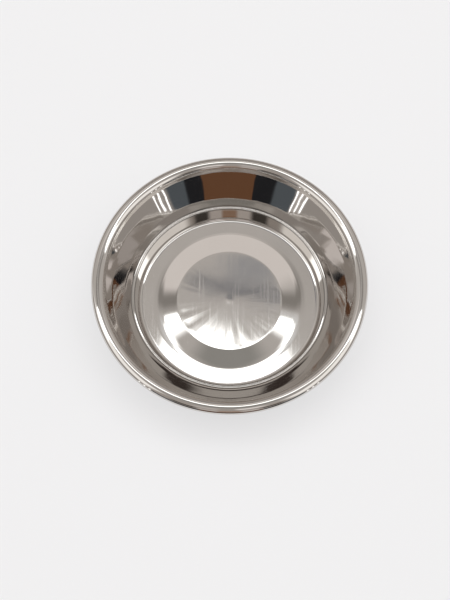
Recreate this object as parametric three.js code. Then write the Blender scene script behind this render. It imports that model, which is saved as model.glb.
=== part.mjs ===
// Metal pet bowl: a pressed stainless steel dish with a large rolled rim, and the rubber ring
// that is stretched round its steep-sided base so that it does not slide on the floor.
// Millimetres, +Z up. The origin is on the floor, at the centre of the rubber ring.
import * as THREE from 'three';

// Steel sheet
const sheetThickness = 0.6;

// Rim: the edge of the sheet is rolled over outwards into a flattened roll and tucked back under
const rimDiameter = 200;
const rollWidth = 9.6;
const rollHeight = 7.2;
const rollTuckDegrees = 135; // how far the edge goes on turning, past its outermost point

// Heights of the inside face, measured from the lowest part of the inside, the floor ring
const rimHeight = 38; // to the middle of the roll
const stepHeight = 34.9; // to the foot of the narrow step below the roll
const bowHeight = 23.6; // to the middle of the wall, which bows inwards a little
const ledgeHeight = 11.6; // to the outer corner of the ledge, at the foot of the wall
const ledgeRise = 0.5; // how much higher the ledge's inner corner lies
const discHeight = 1.7; // to the raised disc in the middle

// Radii and widths of the inside face
const stepWidth = 0.3; // from the inside of the roll in to the top of the wall
const ledgeRadius = 72.3;
const bowWidth = 8.4; // from the ledge out to the middle of the wall
const ledgeWidth = 2.2;
const baseSideWidth = 2.8; // from the ledge in to where the base's side would meet the floor
const floorRingWidth = 13.9; // from there in to the slope
const discSlopeWidth = 14.1;

// Bends in the sheet, as radii of the inside face
const floorBend = 3;
const slopeBend = 50;
const discBend = 1.2;
const ledgeInnerBend = 1;
const ledgeOuterBend = 1.4;
const bowBend = 200;
const stepBend = 0.8;

// Rubber ring
const seatClearance = 0.3; // between the rubber and the steel
const soleThickness = 1.5; // rubber under the steel floor
const soleReach = 6; // how far the sole reaches in under the floor ring
const seatHeight = 10; // how far up the base's side the rubber grips
const collarWidth = 2.5; // rubber outside the steel at the top
const ringSplay = 1.5; // how much further out the ring reaches at the floor
const ringEdgeBend = 0.9;

// Fineness of the round shapes
const turnSegments = 60;
const bendStepDegrees = 30;
const rollStepDegrees = 22.5;

const steel = new THREE.MeshStandardMaterial({ color: 0xc9c6c2, roughness: 0.12, metalness: 1 });
const rubber = new THREE.MeshStandardMaterial({ color: 0x1c1c1d, roughness: 0.75, metalness: 0 });

// A path is a list of { at, normal }: points in the plane of radius and height, each with the
// unit normal on the left of the direction of travel.

function leftOf(direction) {
  return new THREE.Vector2(-direction.y, direction.x);
}

// Points on an oval arc, both ends included, with normals that point to the left of the travel.
function ovalPath(centre, halfWidth, halfHeight, startAngle, endAngle, stepDegrees) {
  const sweep = endAngle - startAngle;
  const steps = Math.max(1, Math.ceil(Math.abs(sweep) / THREE.MathUtils.degToRad(stepDegrees)));
  const path = [];
  for (let i = 0; i <= steps; i++) {
    const angle = startAngle + (sweep * i) / steps;
    const spoke = new THREE.Vector2(Math.cos(angle) * halfWidth, Math.sin(angle) * halfHeight);
    const outward = new THREE.Vector2(Math.cos(angle) / halfWidth, Math.sin(angle) / halfHeight);
    path.push({
      at: centre.clone().add(spoke),
      normal: outward.normalize().multiplyScalar(sweep > 0 ? -1 : 1),
    });
  }
  return path;
}

// The arc that rounds the corner between two straight stretches. It is kept within the stretches.
function cornerPath(before, corner, after, radius) {
  const arriving = corner.clone().sub(before).normalize();
  const leaving = after.clone().sub(corner).normalize();
  const turn = Math.atan2(arriving.cross(leaving), arriving.dot(leaving));
  const room = Math.min(corner.distanceTo(before), corner.distanceTo(after)) / 2;
  const setBack = Math.min(radius * Math.tan(Math.abs(turn) / 2), room);
  const bend = setBack / Math.tan(Math.abs(turn) / 2);
  const side = Math.sign(turn);
  const centre = corner.clone()
    .addScaledVector(arriving, -setBack)
    .addScaledVector(leftOf(arriving), side * bend);
  const startAngle = Math.atan2(-side * leftOf(arriving).y, -side * leftOf(arriving).x);
  return ovalPath(centre, bend, bend, startAngle, startAngle + turn, bendStepDegrees);
}

// A path through corners { radius, height, bend }, with every inner corner rounded.
function bentPath(corners) {
  const points = corners.map((corner) => new THREE.Vector2(corner.radius, corner.height));
  const last = points.length - 1;
  const path = [{ at: points[0], normal: leftOf(points[1].clone().sub(points[0]).normalize()) }];
  for (let i = 1; i < last; i++) {
    path.push(...cornerPath(points[i - 1], points[i], points[i + 1], corners[i].bend));
  }
  path.push({
    at: points[last],
    normal: leftOf(points[last].clone().sub(points[last - 1]).normalize()),
  });
  return path;
}

// The same path moved to its right, as the back of a sheet lies behind its face.
function behind(path, distance) {
  return path.map(({ at, normal }) => at.clone().addScaledVector(normal, -distance));
}

// A solid of revolution about the vertical axis, from a closed or axis-to-axis outline that has
// its material on the left.
function turned(name, outline, material) {
  const geometry = new THREE.LatheGeometry(outline, turnSegments);
  geometry.rotateX(Math.PI / 2);
  const mesh = new THREE.Mesh(geometry, material);
  mesh.name = name;
  return mesh;
}

const floorLevel = soleThickness + seatClearance + sheetThickness;
const rimRadius = rimDiameter / 2;
const wallTopRadius = rimRadius - rollWidth - stepWidth;
const sideTopRadius = ledgeRadius - ledgeWidth;
const floorRadius = sideTopRadius - baseSideWidth;
const slopeRadius = floorRadius - floorRingWidth;
const discRadius = slopeRadius - discSlopeWidth;

// Corner between the floor ring and the base's steep side, on the inside face
const floorCorner = { radius: floorRadius, height: floorLevel, bend: floorBend };

const sideHeight = ledgeHeight + ledgeRise;

function bowlShell() {
  const rollCentre = new THREE.Vector2(rimRadius - rollWidth / 2, floorLevel + rimHeight);
  const face = bentPath([
    { radius: 0, height: floorLevel + discHeight },
    { radius: discRadius, height: floorLevel + discHeight, bend: discBend },
    { radius: slopeRadius, height: floorLevel, bend: slopeBend },
    floorCorner,
    { radius: sideTopRadius, height: floorLevel + sideHeight, bend: ledgeInnerBend },
    { radius: ledgeRadius, height: floorLevel + ledgeHeight, bend: ledgeOuterBend },
    { radius: ledgeRadius + bowWidth, height: floorLevel + bowHeight, bend: bowBend },
    { radius: wallTopRadius, height: floorLevel + stepHeight, bend: stepBend },
    { radius: rimRadius - rollWidth, height: rollCentre.y },
  ]);
  const tuckAngle = -THREE.MathUtils.degToRad(rollTuckDegrees);
  const roll = ovalPath(rollCentre, rollWidth / 2, rollHeight / 2, Math.PI, tuckAngle, rollStepDegrees);
  const path = [...face.slice(0, -1), ...roll];
  const front = behind(path, 0);
  const back = behind(path, sheetThickness);
  back[0].x = 0;
  return turned('bowl_shell', [...back, ...front.reverse()], steel);
}

function rubberRing() {
  const soleRadius = floorRadius - soleReach;
  const base = bentPath([
    { radius: soleRadius, height: floorLevel },
    floorCorner,
    {
      radius: floorRadius + (baseSideWidth * seatHeight) / sideHeight,
      height: floorLevel + seatHeight,
    },
  ]);
  const seat = behind(base, sheetThickness + seatClearance);
  const seatTop = seat[seat.length - 1];
  const collarRadius = seatTop.x + collarWidth;
  const outer = bentPath([
    { radius: soleRadius, height: 0 },
    { radius: collarRadius + ringSplay, height: 0, bend: ringEdgeBend },
    { radius: collarRadius, height: seatTop.y, bend: ringEdgeBend },
    { radius: seatTop.x, height: seatTop.y },
  ]);
  const outline = [...behind(outer, 0), ...seat.slice(0, -1).reverse()];
  return turned('rubber_ring', [...outline, outline[0].clone()], rubber);
}

const petBowl = new THREE.Group();
petBowl.add(bowlShell(), rubberRing());

export default petBowl;
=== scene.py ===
import math

import bmesh
import bpy
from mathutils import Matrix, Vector


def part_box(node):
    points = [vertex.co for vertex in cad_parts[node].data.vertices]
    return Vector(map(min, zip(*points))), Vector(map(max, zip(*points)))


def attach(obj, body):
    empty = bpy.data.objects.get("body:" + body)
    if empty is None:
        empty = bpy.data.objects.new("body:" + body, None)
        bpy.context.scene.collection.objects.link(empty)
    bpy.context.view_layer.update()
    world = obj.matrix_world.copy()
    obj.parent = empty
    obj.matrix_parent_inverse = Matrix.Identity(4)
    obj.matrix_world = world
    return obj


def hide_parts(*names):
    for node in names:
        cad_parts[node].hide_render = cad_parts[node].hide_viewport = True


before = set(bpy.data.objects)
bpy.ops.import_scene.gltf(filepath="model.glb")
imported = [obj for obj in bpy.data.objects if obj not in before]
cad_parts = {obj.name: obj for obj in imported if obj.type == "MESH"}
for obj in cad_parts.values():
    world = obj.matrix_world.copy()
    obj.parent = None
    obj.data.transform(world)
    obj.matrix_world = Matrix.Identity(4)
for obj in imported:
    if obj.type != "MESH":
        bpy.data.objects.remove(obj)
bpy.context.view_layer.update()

shell_low, shell_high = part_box("bowl_shell")
ring_low, ring_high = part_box("rubber_ring")

MM = 0.001
DEGREES_IN_RADIAN = 180 / math.pi

# Sizes of the bowl. The rim and the floor come from the frame, and the rest is measured from them.
SHEET = 0.6 * MM
RIM_RADIUS = shell_high.x
ROLL_HALF_WIDTH = 4.8 * MM
ROLL_HALF_HEIGHT = 3.6 * MM
ROLL_HEIGHT = shell_high.z - ROLL_HALF_HEIGHT
ROLL_TUCK = math.radians(135)
FLOOR_LEVEL = shell_low.z + SHEET
STEP_HEIGHT = FLOOR_LEVEL + 34.9 * MM
STEP_WIDTH = 0.3 * MM
BOW_HEIGHT = FLOOR_LEVEL + 23.6 * MM
LEDGE_HEIGHT = FLOOR_LEVEL + 11.6 * MM
SIDE_HEIGHT = LEDGE_HEIGHT + 0.5 * MM
DISC_HEIGHT = FLOOR_LEVEL + 1.7 * MM
LEDGE_RADIUS = 72.3 * MM
BOW_RADIUS = LEDGE_RADIUS + 8.4 * MM
SIDE_TOP_RADIUS = LEDGE_RADIUS - 2.2 * MM
FLOOR_RADIUS = SIDE_TOP_RADIUS - 2.8 * MM
SLOPE_RADIUS = FLOOR_RADIUS - 13.9 * MM
DISC_RADIUS = SLOPE_RADIUS - 14.1 * MM
WALL_TOP_RADIUS = RIM_RADIUS - 2 * ROLL_HALF_WIDTH - STEP_WIDTH

# Bends in the sheet, as radii of the inside face
DISC_BEND = 1.2 * MM
SLOPE_BEND = 50.0 * MM
FLOOR_BEND = 3.0 * MM
LEDGE_INNER_BEND = 1.0 * MM
LEDGE_OUTER_BEND = 1.4 * MM
BOW_BEND = 200.0 * MM
STEP_BEND = 0.8 * MM

# Where the steep side of the base meets the floor, as radius, height and bend
FLOOR_CORNER = (FLOOR_RADIUS, FLOOR_LEVEL, FLOOR_BEND)

# Sizes of the rubber ring
SEAT_CLEARANCE = 0.3 * MM
SOLE_RADIUS = FLOOR_RADIUS - 6.0 * MM
SEAT_HEIGHT = 10.0 * MM
RING_SPLAY = 1.5 * MM
RING_EDGE_BEND = 0.9 * MM
GRIP_GROOVES = 3
GRIP_DEPTH = 0.35 * MM
GRIP_WIDTH = 1.4 * MM
GRIP_BEND = 0.2 * MM

# Slight waves in the polished sheet. Rays and flutes are counted in a radian of the turn. The rays
# are deepest on the near side, towards the left. The drift is how often flutes and ray lines
# change in a metre of their length.
RAY_COUNT = 5.0
RAY_WAVE = 0.045 * MM
DEEP_RAYS = 3.0
DEEP_SIDE_SLANT = 0.45
SWELL_WAVE = 0.03 * MM
SWELL_SIZE = 18.0 * MM
DIMPLE_RADIUS = 2.0 * MM
DIMPLE_DEPTH = 0.02 * MM
FLUTE_COUNT = 9.0
DRIFT_COUNT = 30.0
WALL_WAVE = 0.2 * MM

# Fine marks of the polishing. Ray lines are counted in a radian, turning lines and clouds in a metre.
RAY_LINE_COUNT = 22.0
TURN_LINE_COUNT = 1500.0
CLOUD_COUNT = 45.0
HAIRLINE_SLIMNESS = 0.02
HAIRLINE_LEVEL = 0.66
MARK_DEPTH = 0.006 * MM
# Share of the painted shade that darkens the two corners of the ledge
CORNER_SHADE_SHARE = 0.7

# Grain and wear of the rubber. Both counts are in a metre.
GRAIN_COUNT = 1800.0
GRAIN_DEPTH = 0.05 * MM
WEAR_COUNT = 60.0
WEAR_HEIGHT = 1.2 * MM

# Tones of the materials
STEEL_TONE = (0.66, 0.635, 0.61, 1.0)
STEEL_PALE_TONE = (0.70, 0.68, 0.66, 1.0)
# Painted shade for the two corners of the ledge, standing in for the dark lines that the mirrored
# corners show
STEEL_CORNER_SHADE_TONE = (0.12, 0.11, 0.10, 1.0)
RUBBER_TONE = (0.018, 0.018, 0.019, 1.0)
RUBBER_WORN_TONE = (0.07, 0.068, 0.065, 1.0)

# Fineness of the turned meshes
BEND_STEP = math.radians(5)
FACE_STEP = 1.4 * MM
BACK_STEP = 4.0 * MM
TURN_STEPS = 240
MERGE_DISTANCE = 0.001 * MM

# Camera, set so that the bowl's rings lie where the photograph has them
CAMERA_TARGET = Vector((-3.3 * MM, -0.2 * MM, 4.4 * MM))
CAMERA_DISTANCE = 0.9957
CAMERA_TILT = math.radians(21.46)
CAMERA_SENSOR = 36.0
CAMERA_LENS = 80.0
CAMERA_NEAREST = 0.01
CAMERA_FARTHEST = 20.0

# Floor. The steel mirrors it dark from a distance in front of the bowl.
FLOOR_HALF = 3.0
FLOOR_TONE = (0.86, 0.86, 0.87, 1.0)
FLOOR_DARK_TONE = (0.05, 0.05, 0.05, 1.0)
FLOOR_DARK_FROM = 0.38
FLOOR_DARK_SOFTNESS = 0.1
FLOOR_GLOW = 1.03
FLOOR_GLOW_SHARE = 0.7

# Light
FAR_HALF_TONE = (0.56, 0.53, 0.50, 1.0)
NEAR_HALF_TONE = (0.60, 0.58, 0.56, 1.0)
BACKDROP_TONE = (0.9, 0.9, 0.9, 1.0)
SOFT_BOX_SIZE = 1.6
SOFT_BOX_POWER = 14.0
SOFT_BOX_PLACE = (0.1, 0.3, 1.9)


# Outlines in the plane of radius and height

def left_of(direction):
    return Vector((-direction.y, direction.x))


def oval_path(centre, half_width, half_height, start, end):
    """Points on an oval arc as (place, normal), with each normal on the left of the travel."""
    steps = max(1, math.ceil(abs(end - start) / BEND_STEP))
    side = -1 if end > start else 1
    path = []
    for step in range(steps + 1):
        angle = start + (end - start) * step / steps
        spoke = Vector((math.cos(angle) * half_width, math.sin(angle) * half_height))
        outward = Vector((math.cos(angle) / half_width, math.sin(angle) / half_height))
        path.append((centre + spoke, outward.normalized() * side))
    return path


def corner_path(before, corner, after, radius):
    """The arc that rounds a corner. It takes at most half of each straight stretch."""
    arriving = (corner - before).normalized()
    leaving = (after - corner).normalized()
    turn = math.atan2(arriving.x * leaving.y - arriving.y * leaving.x, arriving.dot(leaving))
    reach = math.tan(abs(turn) / 2)
    room = min((corner - before).length, (after - corner).length) / 2
    set_back = min(radius * reach, room)
    side = math.copysign(1, turn)
    bend = set_back / reach
    centre = corner - arriving * set_back + left_of(arriving) * side * bend
    spoke = left_of(arriving) * -side
    start = math.atan2(spoke.y, spoke.x)
    return oval_path(centre, bend, bend, start, start + turn)


def bent_path(corners):
    """A path through corners (radius, height, bend), with every inner corner rounded."""
    places = [Vector(corner[:2]) for corner in corners]
    path = [(places[0], left_of((places[1] - places[0]).normalized()))]
    for index in range(1, len(places) - 1):
        path += corner_path(*places[index - 1:index + 2], corners[index][2])
    path.append((places[-1], left_of((places[-1] - places[-2]).normalized())))
    return path


def behind(path, distance):
    """The path moved to its right, as the back of a sheet lies behind its face."""
    return [place - normal * distance for place, normal in path]


def divided(places, longest):
    """The same outline with no stretch longer than the given length."""
    result = [places[0]]
    for start, end in zip(places, places[1:]):
        pieces = max(1, math.ceil((end - start).length / longest))
        result += [start.lerp(end, piece / pieces) for piece in range(1, pieces + 1)]
    return result


def shell_outline():
    """The closed section of the bowl: its back from the axis to the edge, and its face back."""
    roll_centre = Vector((RIM_RADIUS - ROLL_HALF_WIDTH, ROLL_HEIGHT))
    face = bent_path([
        (0, DISC_HEIGHT),
        (DISC_RADIUS, DISC_HEIGHT, DISC_BEND),
        (SLOPE_RADIUS, FLOOR_LEVEL, SLOPE_BEND),
        FLOOR_CORNER,
        (SIDE_TOP_RADIUS, SIDE_HEIGHT, LEDGE_INNER_BEND),
        (LEDGE_RADIUS, LEDGE_HEIGHT, LEDGE_OUTER_BEND),
        (BOW_RADIUS, BOW_HEIGHT, BOW_BEND),
        (WALL_TOP_RADIUS, STEP_HEIGHT, STEP_BEND),
        (roll_centre.x - ROLL_HALF_WIDTH, roll_centre.y),
    ])
    path = face[:-1] + oval_path(roll_centre, ROLL_HALF_WIDTH, ROLL_HALF_HEIGHT, math.pi, -ROLL_TUCK)
    back = divided(behind(path, SHEET), BACK_STEP)
    front = divided(behind(path, 0), FACE_STEP)
    back[0].x = 0
    return back + front[::-1]


def ring_outline():
    """The closed section of the rubber ring, with shallow grip grooves in its sole."""
    seat_share = SEAT_HEIGHT / (SIDE_HEIGHT - FLOOR_LEVEL)
    seat_radius = FLOOR_RADIUS + (SIDE_TOP_RADIUS - FLOOR_RADIUS) * seat_share
    base = [(SOLE_RADIUS, FLOOR_LEVEL), FLOOR_CORNER, (seat_radius, FLOOR_LEVEL + SEAT_HEIGHT)]
    seat = behind(bent_path(base), SHEET + SEAT_CLEARANCE)
    sole = [(SOLE_RADIUS, 0)]
    pitch = (ring_high.x - SOLE_RADIUS) / (GRIP_GROOVES + 1)
    for groove in range(1, GRIP_GROOVES + 1):
        middle = SOLE_RADIUS + pitch * groove
        sole += [
            (middle - GRIP_WIDTH / 2, 0, GRIP_BEND),
            (middle - GRIP_WIDTH / 4, GRIP_DEPTH, GRIP_BEND),
            (middle + GRIP_WIDTH / 4, GRIP_DEPTH, GRIP_BEND),
            (middle + GRIP_WIDTH / 2, 0, GRIP_BEND),
        ]
    outside = behind(bent_path(sole + [
        (ring_high.x, 0, RING_EDGE_BEND),
        (ring_high.x - RING_SPLAY, ring_high.z, RING_EDGE_BEND),
        (seat[-1].x, seat[-1].y),
    ]), 0)
    return divided(outside + seat[-2::-1] + [outside[0]], BACK_STEP)


# Node trees

class Tree:
    """A node tree that is written as expressions. Its call makes any node."""

    def __init__(self, tree):
        self.tree = tree
        self.tree.nodes.clear()

    def __call__(self, kind, settings=None, **inputs):
        """Makes a node: its settings first, then the values or links of its sockets by name."""
        node = self.tree.nodes.new(kind)
        for name, value in (settings or {}).items():
            setattr(node, name, value)
        for name, value in inputs.items():
            self.feed(node.inputs[name.replace("_", " ")], value)
        return node

    def feed(self, socket, value):
        """Links a socket to a value of this tree, or sets it to a plain one."""
        if isinstance(value, Value):
            self.tree.links.new(value.socket, socket)
        elif isinstance(value, bpy.types.NodeSocket):
            self.tree.links.new(value, socket)
        else:
            socket.default_value = value

    def value(self, node):
        return Value(self, node.outputs[0])

    def maths(self, operation, *operands):
        node = self.tree.nodes.new("ShaderNodeMath")
        node.operation = operation
        for socket, operand in zip(node.inputs, operands):
            self.feed(socket, operand)
        return self.value(node)


class Value:
    """A number in a node tree. Each operator on it adds a Math node."""

    def __init__(self, tree, socket):
        self.tree = tree
        self.socket = socket

    def __add__(self, other):
        return self.tree.maths("ADD", self, other)

    def __radd__(self, other):
        return self.tree.maths("ADD", other, self)

    def __sub__(self, other):
        return self.tree.maths("SUBTRACT", self, other)

    def __rsub__(self, other):
        return self.tree.maths("SUBTRACT", other, self)

    def __mul__(self, other):
        return self.tree.maths("MULTIPLY", self, other)

    def __rmul__(self, other):
        return self.tree.maths("MULTIPLY", other, self)

    def __truediv__(self, other):
        return self.tree.maths("DIVIDE", self, other)

    def __rtruediv__(self, other):
        return self.tree.maths("DIVIDE", other, self)

    def __neg__(self):
        return self.tree.maths("MULTIPLY", self, -1.0)

    def __abs__(self):
        return self.tree.maths("ABSOLUTE", self)

    def __pow__(self, other):
        return self.tree.maths("POWER", self, other)

    def over(self, edge, softness):
        """0 below the edge and 1 above it, with a smooth change between them."""
        node = self.tree(
            "ShaderNodeMapRange", {"interpolation_type": "SMOOTHSTEP"},
            Value=self, From_Min=edge - softness, From_Max=edge + softness)
        return self.tree.value(node)

    def within(self, low, high, softness):
        """1 between two edges and 0 outside them."""
        return self.over(low, softness) * (1 - self.over(high, softness))


def noise_of(tree, vector, scale, detail=2.0):
    return tree.value(tree("ShaderNodeTexNoise", Vector=vector, Scale=scale, Detail=detail))


def vector_of(tree, x, y, z):
    return tree("ShaderNodeCombineXYZ", X=x, Y=y, Z=z).outputs["Vector"]


def numbers_of(tree, vector):
    """The three numbers that a vector is made of."""
    parts = tree("ShaderNodeSeparateXYZ", Vector=vector).outputs
    return [Value(tree, parts[axis]) for axis in "XYZ"]


# Turned meshes

def turning_tree():
    """Geometry nodes that turn an outline about the vertical axis and press slight waves into it."""
    group = bpy.data.node_groups.new("turned_outline", "GeometryNodeTree")
    for name, kind in [
        ("Outline", "NodeSocketGeometry"),
        ("Turn Steps", "NodeSocketInt"),
        ("Waves", "NodeSocketFloat"),
        ("Material", "NodeSocketMaterial"),
    ]:
        group.interface.new_socket(name=name, in_out="INPUT", socket_type=kind)
    group.interface.new_socket(name="Mesh", in_out="OUTPUT", socket_type="NodeSocketGeometry")
    tree = Tree(group)
    given = tree("NodeGroupInput").outputs
    turn_steps = Value(tree, given["Turn Steps"])

    count = tree("GeometryNodeAttributeDomainSize", Geometry=given["Outline"])
    grid = tree("GeometryNodeMeshGrid", Vertices_X=count.outputs["Point Count"],
                Vertices_Y=turn_steps + 1)
    index = tree.value(tree("GeometryNodeInputIndex"))
    ring = tree.maths("FLOOR", index / (turn_steps + 1))
    turn = (index - ring * (turn_steps + 1)) / turn_steps * math.tau
    place = tree("GeometryNodeInputPosition").outputs["Position"]
    sample = tree("GeometryNodeSampleIndex", {"data_type": "FLOAT_VECTOR"},
                  Geometry=given["Outline"], Value=place, Index=ring)
    turned = tree("ShaderNodeVectorRotate", {"rotation_type": "Z_AXIS"},
                  Vector=sample.outputs["Value"], Angle=turn)
    surface = tree("GeometryNodeSetPosition", Geometry=grid.outputs["Mesh"],
                   Position=turned.outputs["Vector"])
    closed = tree("GeometryNodeMergeByDistance", Geometry=surface.outputs["Geometry"],
                  Distance=MERGE_DISTANCE)

    height = pressed_waves(tree, place) * Value(tree, given["Waves"])
    push = tree("ShaderNodeVectorMath", {"operation": "SCALE"},
                Vector=tree("GeometryNodeInputNormal").outputs["Normal"], Scale=height)
    pressed = tree("GeometryNodeSetPosition", Geometry=closed.outputs["Geometry"],
                   Offset=push.outputs["Vector"])
    smooth = tree("GeometryNodeSetShadeSmooth", Geometry=pressed.outputs["Geometry"])
    real = tree("GeometryNodeRealizeInstances", Geometry=smooth.outputs["Geometry"])
    dressed = tree("GeometryNodeSetMaterial", Geometry=real.outputs["Geometry"],
                   Material=given["Material"])
    tree("NodeGroupOutput", Mesh=dressed.outputs["Geometry"])
    return group


def pressed_waves(tree, place):
    """Height of the slight waves that the press and the polishing left in the sheet."""
    across, along, up = numbers_of(tree, place)
    radius = (across * across + along * along) ** 0.5
    turn_x, turn_y = across / radius, along / radius
    fold = noise_of(tree, vector_of(tree, turn_x * RAY_COUNT, turn_y * RAY_COUNT, 0.0), 1.0)
    deep_side = ((-along - across * DEEP_SIDE_SLANT) / radius).over(0.75, 0.25)
    share = radius / DISC_RADIUS
    rays = (fold - 0.5) * share * share * share * (1 + deep_side * DEEP_RAYS) * RAY_WAVE
    swell = (noise_of(tree, place, 1 / SWELL_SIZE, detail=1.0) - 0.5) * SWELL_WAVE
    dimple = (1 - radius.over(DIMPLE_RADIUS, DIMPLE_RADIUS)) * -DIMPLE_DEPTH
    on_disc = 1 - radius.over(DISC_RADIUS - 1.5 * MM, 1.0 * MM)
    flute_place = vector_of(tree, turn_x * FLUTE_COUNT, turn_y * FLUTE_COUNT, up * DRIFT_COUNT)
    flute = noise_of(tree, flute_place, 1.0)
    on_wall = radius.within(LEDGE_RADIUS + 3 * MM, WALL_TOP_RADIUS - 2 * MM, 2 * MM)
    return (rays + swell + dimple) * on_disc + (flute - 0.5) * on_wall * WALL_WAVE


def outline_object(name, outline):
    mesh = bpy.data.meshes.new(name)
    points = [(place.x, 0, place.y) for place in outline]
    mesh.from_pydata(points, [(i, i + 1) for i in range(len(points) - 1)], [])
    piece = bpy.data.objects.new(name, mesh)
    bpy.context.scene.collection.objects.link(piece)
    return piece


def turned_piece(name, outline, sizes):
    """A closed mesh of revolution with its faces outwards, as a plain object at the origin."""
    source = outline_object(name + "_outline", outline)
    modifier = source.modifiers.new("turned", "NODES")
    modifier.node_group = TURNING
    for item in TURNING.interface.items_tree:
        if item.name in sizes:
            modifier[item.identifier] = sizes[item.name]
    depsgraph = bpy.context.evaluated_depsgraph_get()
    mesh = bpy.data.meshes.new_from_object(source.evaluated_get(depsgraph))
    bpy.data.objects.remove(source)
    mesh.name = name
    shape = bmesh.new()
    shape.from_mesh(mesh)
    bmesh.ops.recalc_face_normals(shape, faces=shape.faces)
    shape.to_mesh(mesh)
    shape.free()
    piece = bpy.data.objects.new(name, mesh)
    bpy.context.scene.collection.objects.link(piece)
    return piece


# Materials

def new_material(name):
    material = bpy.data.materials.new(name)
    material.use_nodes = True
    return material, Tree(material.node_tree)


def place_of(tree):
    """The place on the piece."""
    return tree("ShaderNodeTexCoord").outputs["Object"]


def colour_mix(tree, share, first, second):
    node = tree("ShaderNodeMix", {"data_type": "RGBA"})
    tree.feed(node.inputs["Factor"], share)
    tree.feed(node.inputs[6], first)
    tree.feed(node.inputs[7], second)
    return node.outputs[2]


def scratches(tree, place, angle, scale):
    """Thin straight hairlines in one direction, 1 on a line and 0 between."""
    turned = tree("ShaderNodeMapping", {"vector_type": "POINT"}, Vector=place,
                  Rotation=(0.0, 0.0, angle), Scale=(scale, scale * HAIRLINE_SLIMNESS, scale))
    lines = noise_of(tree, turned.outputs["Vector"], 1.0, detail=1.0)
    return lines.over(HAIRLINE_LEVEL, 0.03)


def polished_steel():
    """Mirror steel with faint rays, turning lines, cloudy wear and hairlines, and painted shade
    darkening the two corners of the ledge.
    """
    material, tree = new_material("polished_steel")
    place = place_of(tree)
    x, y, z = numbers_of(tree, place)
    radius = (x * x + y * y) ** 0.5
    ray = vector_of(tree, x / radius * RAY_LINE_COUNT, y / radius * RAY_LINE_COUNT,
                    radius * DRIFT_COUNT)
    turned = vector_of(tree, radius * TURN_LINE_COUNT, z * TURN_LINE_COUNT, 0.0)
    ray_lines = noise_of(tree, ray, 1.0, detail=3.0)
    turn_lines = noise_of(tree, turned, 1.0, detail=2.0)
    clouds = noise_of(tree, place, CLOUD_COUNT, detail=3.0)
    hairlines = (scratches(tree, place, 0.4, 900.0) + scratches(tree, place, 1.5, 800.0)
                 + scratches(tree, place, 2.6, 1000.0))
    on_disc = 1 - radius.over(DISC_RADIUS, 0.5 * MM)

    rough = 0.02 + clouds * 0.02 + ray_lines * 0.02 + on_disc * 0.015 + hairlines * 0.02
    tone = colour_mix(tree, clouds, STEEL_TONE, STEEL_PALE_TONE)
    # Painted shade: the two corners of the ledge are darkened, standing in for the dark lines that
    # the mirrored corners show
    inner_corner = radius.within(SIDE_TOP_RADIUS - 0.1 * MM, SIDE_TOP_RADIUS + 0.5 * MM, 0.3 * MM)
    outer_corner = radius.within(LEDGE_RADIUS - 0.1 * MM, LEDGE_RADIUS + 0.6 * MM, 0.3 * MM)
    painted_corner_shade = (inner_corner + outer_corner) * CORNER_SHADE_SHARE
    tone = colour_mix(tree, painted_corner_shade, tone, STEEL_CORNER_SHADE_TONE)
    relief = turn_lines * 0.3 + ray_lines * 0.3 + hairlines * -0.015
    bump = tree("ShaderNodeBump", Height=relief, Strength=0.35, Distance=MARK_DEPTH)
    shader = tree("ShaderNodeBsdfPrincipled", Base_Color=tone, Metallic=1.0, Roughness=rough,
                  Normal=bump.outputs["Normal"])
    tree("ShaderNodeOutputMaterial", Surface=shader.outputs["BSDF"])
    return material


def black_rubber():
    """Matt rubber with a fine grain, paler in clouds where its sole is worn."""
    material, tree = new_material("black_rubber")
    place = place_of(tree)
    height = numbers_of(tree, place)[2]
    grain = noise_of(tree, place, GRAIN_COUNT)
    clouds = noise_of(tree, place, WEAR_COUNT, detail=3.0)
    worn = 1 - height.over(WEAR_HEIGHT, 1.0 * MM)
    tone = colour_mix(tree, worn * clouds, RUBBER_TONE, RUBBER_WORN_TONE)
    bump = tree("ShaderNodeBump", Height=grain, Strength=0.5, Distance=GRAIN_DEPTH)
    shader = tree("ShaderNodeBsdfPrincipled", Base_Color=tone, Roughness=0.55 + clouds * 0.25,
                  Normal=bump.outputs["Normal"])
    tree("ShaderNodeOutputMaterial", Surface=shader.outputs["BSDF"])
    return material


# Pieces

TURNING = turning_tree()

bowl = turned_piece("bowl_shell_steel", shell_outline(), {
    "Turn Steps": TURN_STEPS,
    "Waves": 1.0,
    "Material": polished_steel(),
})
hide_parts("bowl_shell")
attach(bowl, "root")

ring = turned_piece("rubber_ring_moulded", ring_outline(), {
    "Turn Steps": TURN_STEPS,
    "Waves": 0.0,
    "Material": black_rubber(),
})
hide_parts("rubber_ring")
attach(ring, "root")


# Studio

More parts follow.
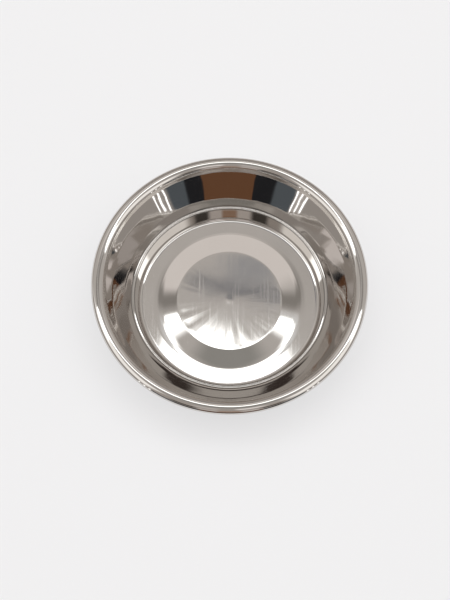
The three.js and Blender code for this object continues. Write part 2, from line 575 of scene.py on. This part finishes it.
def floor():
    """A plain pale floor. Its own light keeps the shadow on it faint, as on a bright white table."""
    material, tree = new_material("pale_floor")
    along = numbers_of(tree, place_of(tree))[1]
    rays = tree("ShaderNodeLightPath").outputs
    seen = Value(tree, rays["Is Camera Ray"])
    mirrored = Value(tree, rays["Is Glossy Ray"]) + Value(tree, rays["Is Transmission Ray"])
    edge = mirrored * (-along).over(FLOOR_DARK_FROM, FLOOR_DARK_SOFTNESS)
    tone = colour_mix(tree, edge, FLOOR_TONE, FLOOR_DARK_TONE)
    matt = tree("ShaderNodeBsdfDiffuse", Color=tone)
    glow = tree("ShaderNodeEmission", Color=tone, Strength=FLOOR_GLOW)
    mixed = tree("ShaderNodeMixShader", Fac=(seen + mirrored) * FLOOR_GLOW_SHARE)
    tree.feed(mixed.inputs[1], matt.outputs["BSDF"])
    tree.feed(mixed.inputs[2], glow.outputs["Emission"])
    tree("ShaderNodeOutputMaterial", Surface=mixed.outputs["Shader"])
    mesh = bpy.data.meshes.new("floor")
    half = FLOOR_HALF
    corners = [(-half, -half, 0), (half, -half, 0), (half, half, 0), (-half, half, 0)]
    mesh.from_pydata(corners, [], [(0, 1, 2, 3)])
    mesh.materials.append(material)
    plane = bpy.data.objects.new("floor", mesh)
    bpy.context.scene.collection.objects.link(plane)


class Surroundings:
    """The light that the steel mirrors, painted by direction, each coat over the ones before.

    A lean is the angle from straight up. A side angle is measured from the near or the far side,
    positive to the right. Both are in degrees. Across and along are where a direction crosses
    a level plane one unit above the bowl."""

    def __init__(self, tree):
        self.tree = tree
        direction = tree("ShaderNodeTexCoord").outputs["Generated"]
        x, y, self.up = numbers_of(tree, direction)
        self.lean = tree.maths("ARCCOSINE", self.up) * DEGREES_IN_RADIAN
        self.near = tree.maths("ARCTAN2", x, -y) * DEGREES_IN_RADIAN
        self.far = tree.maths("ARCTAN2", x, y) * DEGREES_IN_RADIAN
        self.across, self.along = x / self.up, y / self.up
        near_half = (-y).over(0, 0.15)
        self.tone = colour_mix(tree, near_half, FAR_HALF_TONE, NEAR_HALF_TONE)

    def paint(self, mask, colour):
        self.tone = colour_mix(self.tree, mask, self.tone, (*colour, 1.0))


def paint_far_side(room):
    """A dim lower part, a light panel and a dark arch that is open in the middle."""
    room.paint(room.far.within(-60, 60, 20) * room.lean.over(68, 12), (0.33, 0.285, 0.25))
    room.paint(room.far.within(-37, 30, 5) * room.lean.within(28, 39.5, 1.5), (0.83, 0.775, 0.74))
    arch = (room.along + room.across * room.across * 0.5).within(0.40, 0.50, 0.04)
    room.paint(arch * abs(room.across + 0.02).over(0.13, 0.09), (0.29, 0.27, 0.25))


def paint_overhead(room):
    """A dim patch straight above."""
    room.paint(1 - room.lean.over(11, 3), (0.34, 0.33, 0.31))


def paint_sides(room):
    """Bright panels at the left and the right, dimmer at their top and at their foot."""
    sides = room.near.within(33, 100, 5) + room.near.within(-108, -50, 5)
    room.paint(sides * room.lean.over(9, 3), (0.43, 0.4, 0.38))
    room.paint(sides * room.lean.over(25, 3), (1.2, 1.17, 1.13))
    room.paint(sides * room.lean.over(62, 8), (0.37, 0.34, 0.315))


def paint_near_side(room):
    """Plain panels of light and dark in front of the bowl."""
    near, lean = room.near, room.lean
    room.paint(near.within(-50, 40, 5) * lean.over(14, 4), (0.43, 0.39, 0.36))
    room.paint(near.within(30, 62, 5) * lean.within(17, 27, 3), (0.5, 0.47, 0.45))
    room.paint(near.within(6, 27, 3) * lean.within(18, 33, 2), (1.0, 0.95, 0.93))
    room.paint(near.within(-28, -9, 3) * lean.within(18, 36, 2), (0.6, 0.56, 0.54))
    room.paint(near.within(-36, 33, 3) * lean.within(47, 64, 3), (0.07, 0.062, 0.055))
    room.paint(near.within(-20, 19, 3) * lean.within(46, 65, 4), (0.62, 0.57, 0.54))
    room.paint(near.within(-7, 7, 2) * lean.within(50, 61, 2), (0.34, 0.2, 0.125))
    room.paint(near.within(8, 24, 3) * lean.within(67, 75, 1), (0.85, 0.8, 0.78))
    room.paint(near.within(-13, 5, 3) * lean.within(67, 75, 1), (0.28, 0.26, 0.24))


def paint_low_cards(room):
    """A slate card, a black one on it and a brown one on that, low on the near side."""
    low = room.lean.over(72.2, 1.2)
    room.paint(room.near.within(-46, 44, 1.5) * low, (0.095, 0.108, 0.12))
    room.paint(room.near.within(-32, 31, 1) * low, (0.018, 0.018, 0.02))
    room.paint(room.near.within(-17.5, 19.5, 0.5) * low, (0.148, 0.07, 0.036))


def paint_stripes(room):
    """Three narrow bright stripes beside each end of the slate card."""
    stripes = sum(room.near.within(middle - 0.5, middle + 0.5, 0.3)
                  for middle in (-54, -50.5, -47, 46, 49.5, 53))
    room.paint(stripes * room.lean.over(76.5, 1), (2.4, 2.4, 2.4))


def paint_far_bars(room):
    """Two dark level bars on the far side, which the near wall mirrors."""
    bars = room.lean.within(45.3, 50, 0.6) + room.lean.within(57, 61.5, 0.8)
    room.paint(room.far.within(-27, 27, 3) * bars, (0.06, 0.047, 0.042))


def paint_lamp(room):
    """A wide bright lamp over the bowl with a soft foot, and a faint glow along its top edge."""
    across, along = room.across, room.along
    room.paint(along.within(0.29, 0.345, 0.018) * across.within(-0.22, 0.3, 0.05), (0.8, 0.79, 0.78))
    middle_lift = 0.05 + (1 - across.over(0.004, 0.004)) * 0.012
    left_lift = (1 - across.over(-0.24, 0.02)) * 0.02
    lift = (1 - abs(across).over(0.055, 0.01)) * middle_lift + left_lift
    foot = (along + across * across * 0.25).over(0.24, 0.034)
    lamp = foot * (1 - (along - lift).over(0.305, 0.012))
    room.paint(lamp * room.up.over(0.7, 0.1), (3.0, 3.05, 3.05))


def paint_disc_shade(room):
    """A dim patch and a thin dark line over the bowl, which the raised disc mirrors."""
    across, along = room.across, room.along
    patch = across.within(0.002, 0.045, 0.012) * along.within(0.408, 0.436, 0.01)
    room.paint(patch, (0.36, 0.36, 0.37))
    line = (along + across * 0.2).within(0.4, 0.409, 0.002) * across.within(-0.03, 0.052, 0.006)
    room.paint(line, (0.1, 0.11, 0.14))


def studio_world():
    """Soft surroundings for the steel to mirror. The camera itself sees a plain pale backdrop."""
    world = bpy.data.worlds.new("studio")
    world.use_nodes = True
    bpy.context.scene.world = world
    tree = Tree(world.node_tree)
    room = Surroundings(tree)
    paint_far_side(room)
    paint_overhead(room)
    paint_sides(room)
    paint_near_side(room)
    paint_low_cards(room)
    paint_stripes(room)
    paint_far_bars(room)
    paint_lamp(room)
    paint_disc_shade(room)

    studio = tree("ShaderNodeBackground", Color=room.tone, Strength=1.0)
    backdrop = tree("ShaderNodeBackground", Color=BACKDROP_TONE, Strength=1.0)
    shown = tree("ShaderNodeMixShader", Fac=tree("ShaderNodeLightPath").outputs["Is Camera Ray"])
    tree.feed(shown.inputs[1], studio.outputs["Background"])
    tree.feed(shown.inputs[2], backdrop.outputs["Background"])
    tree("ShaderNodeOutputWorld", Surface=shown.outputs["Shader"])


def soft_box():
    """A large soft lamp overhead. It lights what is matt and leaves the mirror steel alone."""
    lamp = bpy.data.lights.new("soft_box", "AREA")
    lamp.shape = "SQUARE"
    lamp.size = SOFT_BOX_SIZE
    lamp.energy = SOFT_BOX_POWER
    stand = bpy.data.objects.new("soft_box", lamp)
    stand.location = SOFT_BOX_PLACE
    stand.visible_glossy = False
    bpy.context.scene.collection.objects.link(stand)


def camera():
    data = bpy.data.cameras.new("camera")
    data.sensor_width = CAMERA_SENSOR
    data.lens = CAMERA_LENS
    data.clip_start = CAMERA_NEAREST
    data.clip_end = CAMERA_FARTHEST
    stand = bpy.data.objects.new("camera", data)
    back = Vector((0, -math.sin(CAMERA_TILT), math.cos(CAMERA_TILT)))
    stand.location = CAMERA_TARGET + back * CAMERA_DISTANCE
    stand.rotation_euler = (CAMERA_TILT, 0, 0)
    bpy.context.scene.collection.objects.link(stand)
    bpy.context.scene.camera = stand


floor()
studio_world()
soft_box()
camera()
bpy.context.scene.view_settings.view_transform = "Standard"
